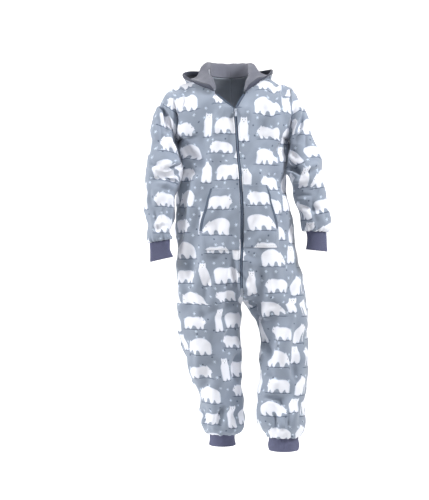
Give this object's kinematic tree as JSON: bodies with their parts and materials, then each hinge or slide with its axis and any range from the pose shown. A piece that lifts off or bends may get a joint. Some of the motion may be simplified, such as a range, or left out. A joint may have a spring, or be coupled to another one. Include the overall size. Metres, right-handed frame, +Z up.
{
  "type": "hooded onesie",
  "caption": "Adult's hooded fleece onesie with long sleeves and legs, ribbed cuffs, flat front pockets and a full-length zip, held in the shape of a standing wearer.",
  "frame": {"origin": "in the neck opening, level with the top of the shoulders, where the wearer holds the garment", "axes": "+Z up along the body, -Y out of the garment's front, +X to the viewer's right"},
  "size_m": [0.6931, 0.3938, 1.4683],
  "materials": {
    "ankle_cuff_left": "ribbed knit",
    "ankle_cuff_right": "ribbed knit",
    "back_left": "brushed fleece",
    "back_right": "brushed fleece",
    "front_left": "brushed fleece",
    "front_right": "brushed fleece",
    "hood_hem": "brushed fleece",
    "hood_left": "brushed fleece",
    "hood_lining": "brushed fleece",
    "hood_right": "brushed fleece",
    "pocket_left": "brushed fleece",
    "pocket_right": "brushed fleece",
    "pull_tab_bottom": "satin",
    "pull_tab_top": "satin",
    "sleeve_left": "brushed fleece",
    "sleeve_right": "brushed fleece",
    "slider_bottom": "satin",
    "slider_top": "satin",
    "wrist_cuff_left": "ribbed knit",
    "wrist_cuff_right": "ribbed knit",
    "zip_coil": "matt",
    "zip_open_left": "matt",
    "zip_open_right": "matt",
    "zip_tape_left": "woven tape",
    "zip_tape_right": "woven tape"
  },
  "bodies": {
    "garment": {"ankle_cuff_left": "ankle_cuff_left", "ankle_cuff_right": "ankle_cuff_right", "back_left": "back_left", "back_right": "back_right", "front_left": "front_left", "front_right": "front_right", "hood_hem": "hood_hem", "hood_left": "hood_left", "hood_lining": "hood_lining", "hood_right": "hood_right", "pocket_left": "pocket_left", "pocket_right": "pocket_right", "sleeve_left": "sleeve_left", "sleeve_right": "sleeve_right", "slider_bottom": "slider_bottom", "slider_top": "slider_top", "wrist_cuff_left": "wrist_cuff_left", "wrist_cuff_right": "wrist_cuff_right", "zip_coil": "zip_coil", "zip_open_left": "zip_open_left", "zip_open_right": "zip_open_right", "zip_tape_left": "zip_tape_left", "zip_tape_right": "zip_tape_right"},
    "top_tab": {"pull_tab_top": "pull_tab_top"},
    "bottom_tab": {"pull_tab_bottom": "pull_tab_bottom"}
  },
  "joints": [
    {"name": "pull_tab_top", "type": "hinge", "parent": "garment", "child": "top_tab", "pos_m": [0.01498, -0.13996, -0.11377], "axis": [-1, 0, 0], "range_deg": [0, 165]},
    {"name": "pull_tab_bottom", "type": "hinge", "parent": "garment", "child": "bottom_tab", "pos_m": [0.0379, -0.15574, -0.77862], "axis": [-1, 0, 0], "range_deg": [0, 160]}
  ]
}
